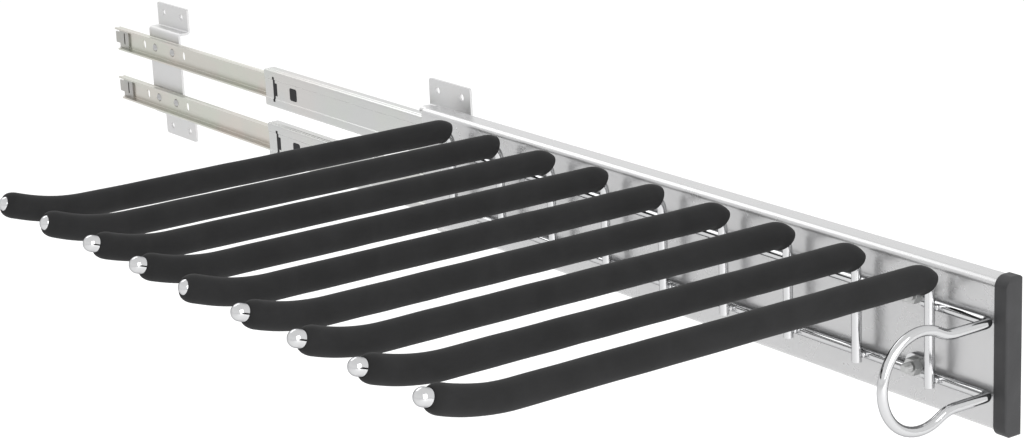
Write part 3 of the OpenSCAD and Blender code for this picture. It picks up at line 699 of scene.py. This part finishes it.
class RACK_OT_fasteners(bpy.types.Operator):
    """Threaded frame bolts, and plating on the nuts and washers"""

    bl_idname = "rack.fasteners"
    bl_label = "Bolts, nuts and washers"

    def shank(self, bm, settings, rim, centre):
        """Draws the head's rim in to the neck and on to the thread's end; the end ring."""
        neck = centre + OUTWARD * settings.head_height
        made = bmesh.ops.extrude_edge_only(bm, edges=rim)["geom"]
        bmesh.ops.translate(bm, verts=verts_of(made), vec=OUTWARD * settings.head_height)
        root = (settings.radius - settings.groove) / settings.head
        bmesh.ops.scale(
            bm, verts=verts_of(made), vec=(root, 1, root), space=Matrix.Translation(-neck)
        )
        step = settings.pitch / THREAD_STEPS
        threaded = settings.length - settings.head_height - settings.chamfer
        known = set(bm.verts)
        ring = grow(bm, edges_of(made), OUTWARD * step, int(threaded / step))
        for vert in bm.verts:
            if vert not in known:
                self.lift_thread(settings, vert, neck)
        return ring

    def lift_thread(self, settings, vert, neck):
        """Moves a vertex of the shank out to the thread's crest where it winds past."""
        across = Vector((vert.co.x - neck.x, 0, vert.co.z - neck.z))
        run = (neck.y - vert.co.y) / settings.pitch
        spin = math.atan2(across.z, across.x) / (2 * math.pi)
        crest = 1 - abs(2 * ((run + spin) % 1.0) - 1)
        vert.co += across.normalized() * settings.groove * min(1.0, crest * THREAD_CREST)

    def chamfer_end(self, bm, settings, ring):
        """Draws the thread's end in to its chamfer and closes it."""
        made = bmesh.ops.extrude_edge_only(bm, edges=ring)["geom"]
        bmesh.ops.translate(bm, verts=verts_of(made), vec=OUTWARD * settings.chamfer)
        bmesh.ops.scale(
            bm, verts=verts_of(made), vec=(BOLT_END_SHARE, 1, BOLT_END_SHARE),
            space=Matrix.Translation(-middle_of(edges_of(made))),
        )
        bmesh.ops.contextual_create(bm, geom=edges_of(made))

    def sink_socket(self, bm, settings, rim, centre):
        """Draws the head's rim in to a hexagon and sinks it."""
        socket = narrow(bm, rim, settings.socket / settings.head)
        for vert in {vert for edge in socket for vert in edge.verts}:
            across = Vector((vert.co.x - centre.x, 0, vert.co.z - centre.z))
            spin = math.atan2(across.z, across.x)
            flat = (spin + math.radians(30)) % math.radians(60) - math.radians(30)
            vert.co = centre + across.normalized() * settings.socket / math.cos(flat)
        floor = grow(bm, socket, OUTWARD * settings.socket_depth)
        bmesh.ops.contextual_create(bm, geom=floor)

    def bolt(self, bm, settings, centre):
        """One sunk bolt, drawn outwards from the head's flat back."""
        turn = Matrix.Rotation(math.radians(90), 4, "X")
        rim = ring_at(bm, centre, settings.head, BOLT_POINTS, turn)
        self.chamfer_end(bm, settings, self.shank(bm, settings, rim, centre))
        self.sink_socket(bm, settings, rim, centre)

    def execute(self, context):
        settings = context.scene.rack_fasteners
        plating = metal_finish(
            "fastener_plating", settings.tint, settings.roughness, wave=FASTENER_WAVE
        )
        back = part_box("frame_bolts")[1].y
        low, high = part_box("frame_washers")
        bm = bmesh.new()
        for x in (low.x + WASHER_RADIUS, high.x - WASHER_RADIUS):
            for z in (low.z + WASHER_RADIUS, high.z - WASHER_RADIUS):
                self.bolt(bm, settings, Vector((x, back, z)))
        bmesh.ops.recalc_face_normals(bm, faces=bm.faces)
        bolts = new_piece("threaded_bolts", bm, plating)
        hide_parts("frame_bolts")
        dress(plating, "frame_nuts", "frame_washers")
        return {"FINISHED"}


class RACK_OT_rail(bpy.types.Operator):
    """Anodised aluminium on the rail and plastic on its end cap"""

    bl_idname = "rack.rail"
    bl_label = "Rail and end cap"

    def execute(self, context):
        settings = context.scene.rack_rail
        anodised = metal_finish(
            "anodised_rail", settings.tint, settings.roughness, lines=RAIL_LINES,
            metallic=settings.metallic, depth=settings.line_depth,
        )
        dress(anodised, "rail", "rail_rivets")
        plastic = plastic_finish("end_cap_grey", settings.cap_tint, settings.cap_roughness, 900.0)
        dress(plastic, "end_cap")
        return {"FINISHED"}


class RACK_OT_slides(bpy.types.Operator):
    """Zinc on the brackets and slides, black on their plastic pieces"""

    bl_idname = "rack.slides"
    bl_label = "Brackets and slides"

    def execute(self, context):
        settings = context.scene.rack_slides
        warm, cool = settings.warm_tint, settings.cool_tint
        bracket = metal_finish(
            "bracket_zinc", settings.bracket_tint, settings.bracket_roughness,
            film=(warm, cool, settings.bracket_film),
        )
        dress(bracket, "rear_bracket", "front_bracket")
        # The rivets' darker zinc is painted shade for the domed heads the flat CAD heads lack.
        rivet = metal_finish(
            "rivet_zinc_painted_shade", settings.rivet_painted_shade_tint, settings.rivet_roughness, wave=FASTENER_WAVE
        )
        dress(rivet, "slide_rivets")
        fixed = metal_finish(
            "fixed_member_zinc", settings.fixed_tint, settings.fixed_roughness,
            lines=SLIDE_LINES, film=(warm, cool, settings.fixed_film),
        )
        middle = metal_finish(
            "middle_member_zinc", settings.middle_tint, settings.middle_roughness,
            lines=SLIDE_LINES, film=(warm, cool, settings.middle_film),
        )
        # The rear stops' darker zinc is painted shade for the channel they sit in.
        stop = metal_finish(
            "rear_stop_steel_painted_shade", settings.stop_painted_shade_tint, settings.stop_roughness,
            film=(warm, cool, settings.stop_film),
        )
        balls = metal_finish("polished_balls", settings.ball_tint, settings.ball_roughness)
        black = plastic_finish("slide_black", settings.black_tint, 0.45, 1100.0)
        for level in ("upper", "lower"):
            dress(fixed, f"{level}_fixed_member")
            dress(stop, f"{level}_rear_stop")
            dress(middle, f"{level}_middle_member", f"{level}_rail_member")
            dress(middle, f"{level}_rear_cage", f"{level}_front_cage")
            dress(balls, f"{level}_rear_balls", f"{level}_front_balls")
            dress(black, f"{level}_latch", f"{level}_buffer")
        return {"FINISHED"}


class RACK_OT_stage(bpy.types.Operator):
    """Pale floor, soft lights and the camera"""

    bl_idname = "rack.stage"
    bl_label = "Stage"

    def add_light(self, name, place, aim, size, power):
        data = bpy.data.lights.new(name, "AREA")
        data.shape = "RECTANGLE"
        data.size, data.size_y = size
        data.energy = power
        light = bpy.data.objects.new(name, data)
        bpy.context.scene.collection.objects.link(light)
        light.location = place
        light.rotation_euler = (Vector(aim) - Vector(place)).to_track_quat("-Z", "Y").to_euler()

    def add_floor(self, settings):
        bm = bmesh.new()
        bmesh.ops.create_grid(
            bm, x_segments=2, y_segments=2, size=FLOOR_SIZE,
            matrix=Matrix.Translation((0, 0, settings.floor_height)),
        )
        mesh = bpy.data.meshes.new("floor")
        bm.to_mesh(mesh)
        bm.free()
        floor = bpy.data.objects.new("floor", mesh)
        bpy.context.scene.collection.objects.link(floor)
        material, tree, shader, place = new_finish("floor_paper")
        marks = add_group(tree, handling_marks(), place, Size=2.0)
        tinted(
            tree, shader, marks.outputs["Smudge"], settings.floor_tint,
            scaled(settings.floor_tint, 0.995),
        )
        shader.inputs["Roughness"].default_value = 0.9
        shader.inputs["Specular IOR Level"].default_value = 0.1
        mesh.materials.append(material)

    def add_sky(self, settings):
        world = bpy.data.worlds.new("soft_room")
        world.use_nodes = True
        tree = world.node_tree
        place = tree.nodes.new("ShaderNodeTexCoord").outputs["Generated"]
        split = tree.nodes.new("ShaderNodeSeparateXYZ")
        tree.links.new(place, split.inputs["Vector"])
        level = remap(tree, split.outputs["Z"], *SKY_FADE)
        background = tree.nodes["Background"]
        lit = add_node(tree, "ShaderNodeCombineColor")
        for label in ("Red", "Green", "Blue"):
            tree.links.new(level, lit.inputs[label])
        tree.links.new(lit.outputs["Color"], background.inputs["Color"])
        background.inputs["Strength"].default_value = settings.sky
        bpy.context.scene.world = world

    def add_camera(self, settings):
        data = bpy.data.cameras.new("view")
        data.sensor_width = 36
        data.lens = settings.lens
        data.clip_start, data.clip_end = 0.01, 60
        camera = bpy.data.objects.new("view", data)
        bpy.context.scene.collection.objects.link(camera)
        bpy.context.scene.camera = camera
        flat, fall = math.cos(settings.pitch), math.sin(settings.pitch)
        ahead = Vector((-math.cos(settings.yaw) * flat, math.sin(settings.yaw) * flat, -fall))
        level = Vector((math.sin(settings.yaw), math.cos(settings.yaw), 0))
        down = ahead.cross(level)
        turn, tilt = math.cos(settings.roll), math.sin(settings.roll)
        right = level * turn + down * tilt
        below = down * turn - level * tilt
        axes = Matrix((right, -below, -ahead)).transposed().to_4x4()
        camera.matrix_world = Matrix.Translation(settings.eye) @ axes

    def execute(self, context):
        settings = context.scene.rack_stage
        context.scene.view_settings.view_transform = "Standard"
        self.add_camera(settings)
        self.add_floor(settings)
        self.add_sky(settings)
        self.add_light("left", *LEFT_SOFTBOX, settings.left)
        self.add_light("right", *RIGHT_SOFTBOX, settings.right)
        return {"FINISHED"}


class RACK_PT_finishes(bpy.types.Panel):
    """Lists the rack's pieces"""

    bl_idname = "RACK_PT_finishes"
    bl_label = "Trouser rack"
    bl_space_type = "VIEW_3D"
    bl_region_type = "UI"
    bl_category = "Rack"

    def draw(self, context):
        for operator in OPERATORS:
            self.layout.operator(operator.bl_idname)
        for attribute, group in SETTINGS.items():
            box = self.layout.box()
            box.label(text=group.__doc__)
            for key in group.__annotations__:
                box.prop(getattr(context.scene, attribute), key)


SETTINGS = {
    "rack_sleeves": SleeveSettings,
    "rack_chrome": ChromeSettings,
    "rack_rail": RailSettings,
    "rack_slides": SlideSettings,
    "rack_fasteners": FastenerSettings,
    "rack_stage": StageSettings,
}
OPERATORS = (
    RACK_OT_stage,
    RACK_OT_slides,
    RACK_OT_rail,
    RACK_OT_wire_frame,
    RACK_OT_fasteners,
    RACK_OT_sleeves,
)


def register():
    for group in SETTINGS.values():
        bpy.utils.register_class(group)
    for attribute, group in SETTINGS.items():
        setattr(bpy.types.Scene, attribute, PointerProperty(type=group))
    for operator in OPERATORS:
        bpy.utils.register_class(operator)
    bpy.utils.register_class(RACK_PT_finishes)


def unregister():
    bpy.utils.unregister_class(RACK_PT_finishes)
    for operator in reversed(OPERATORS):
        bpy.utils.unregister_class(operator)
    for attribute, group in SETTINGS.items():
        delattr(bpy.types.Scene, attribute)
        bpy.utils.unregister_class(group)


def main():
    register()
    bpy.ops.rack.stage()
    bpy.ops.rack.slides()
    bpy.ops.rack.rail()
    bpy.ops.rack.wire_frame()
    bpy.ops.rack.fasteners()
    bpy.ops.rack.sleeves()
    bpy.context.view_layer.update()


if __name__ == "__main__":
    main()
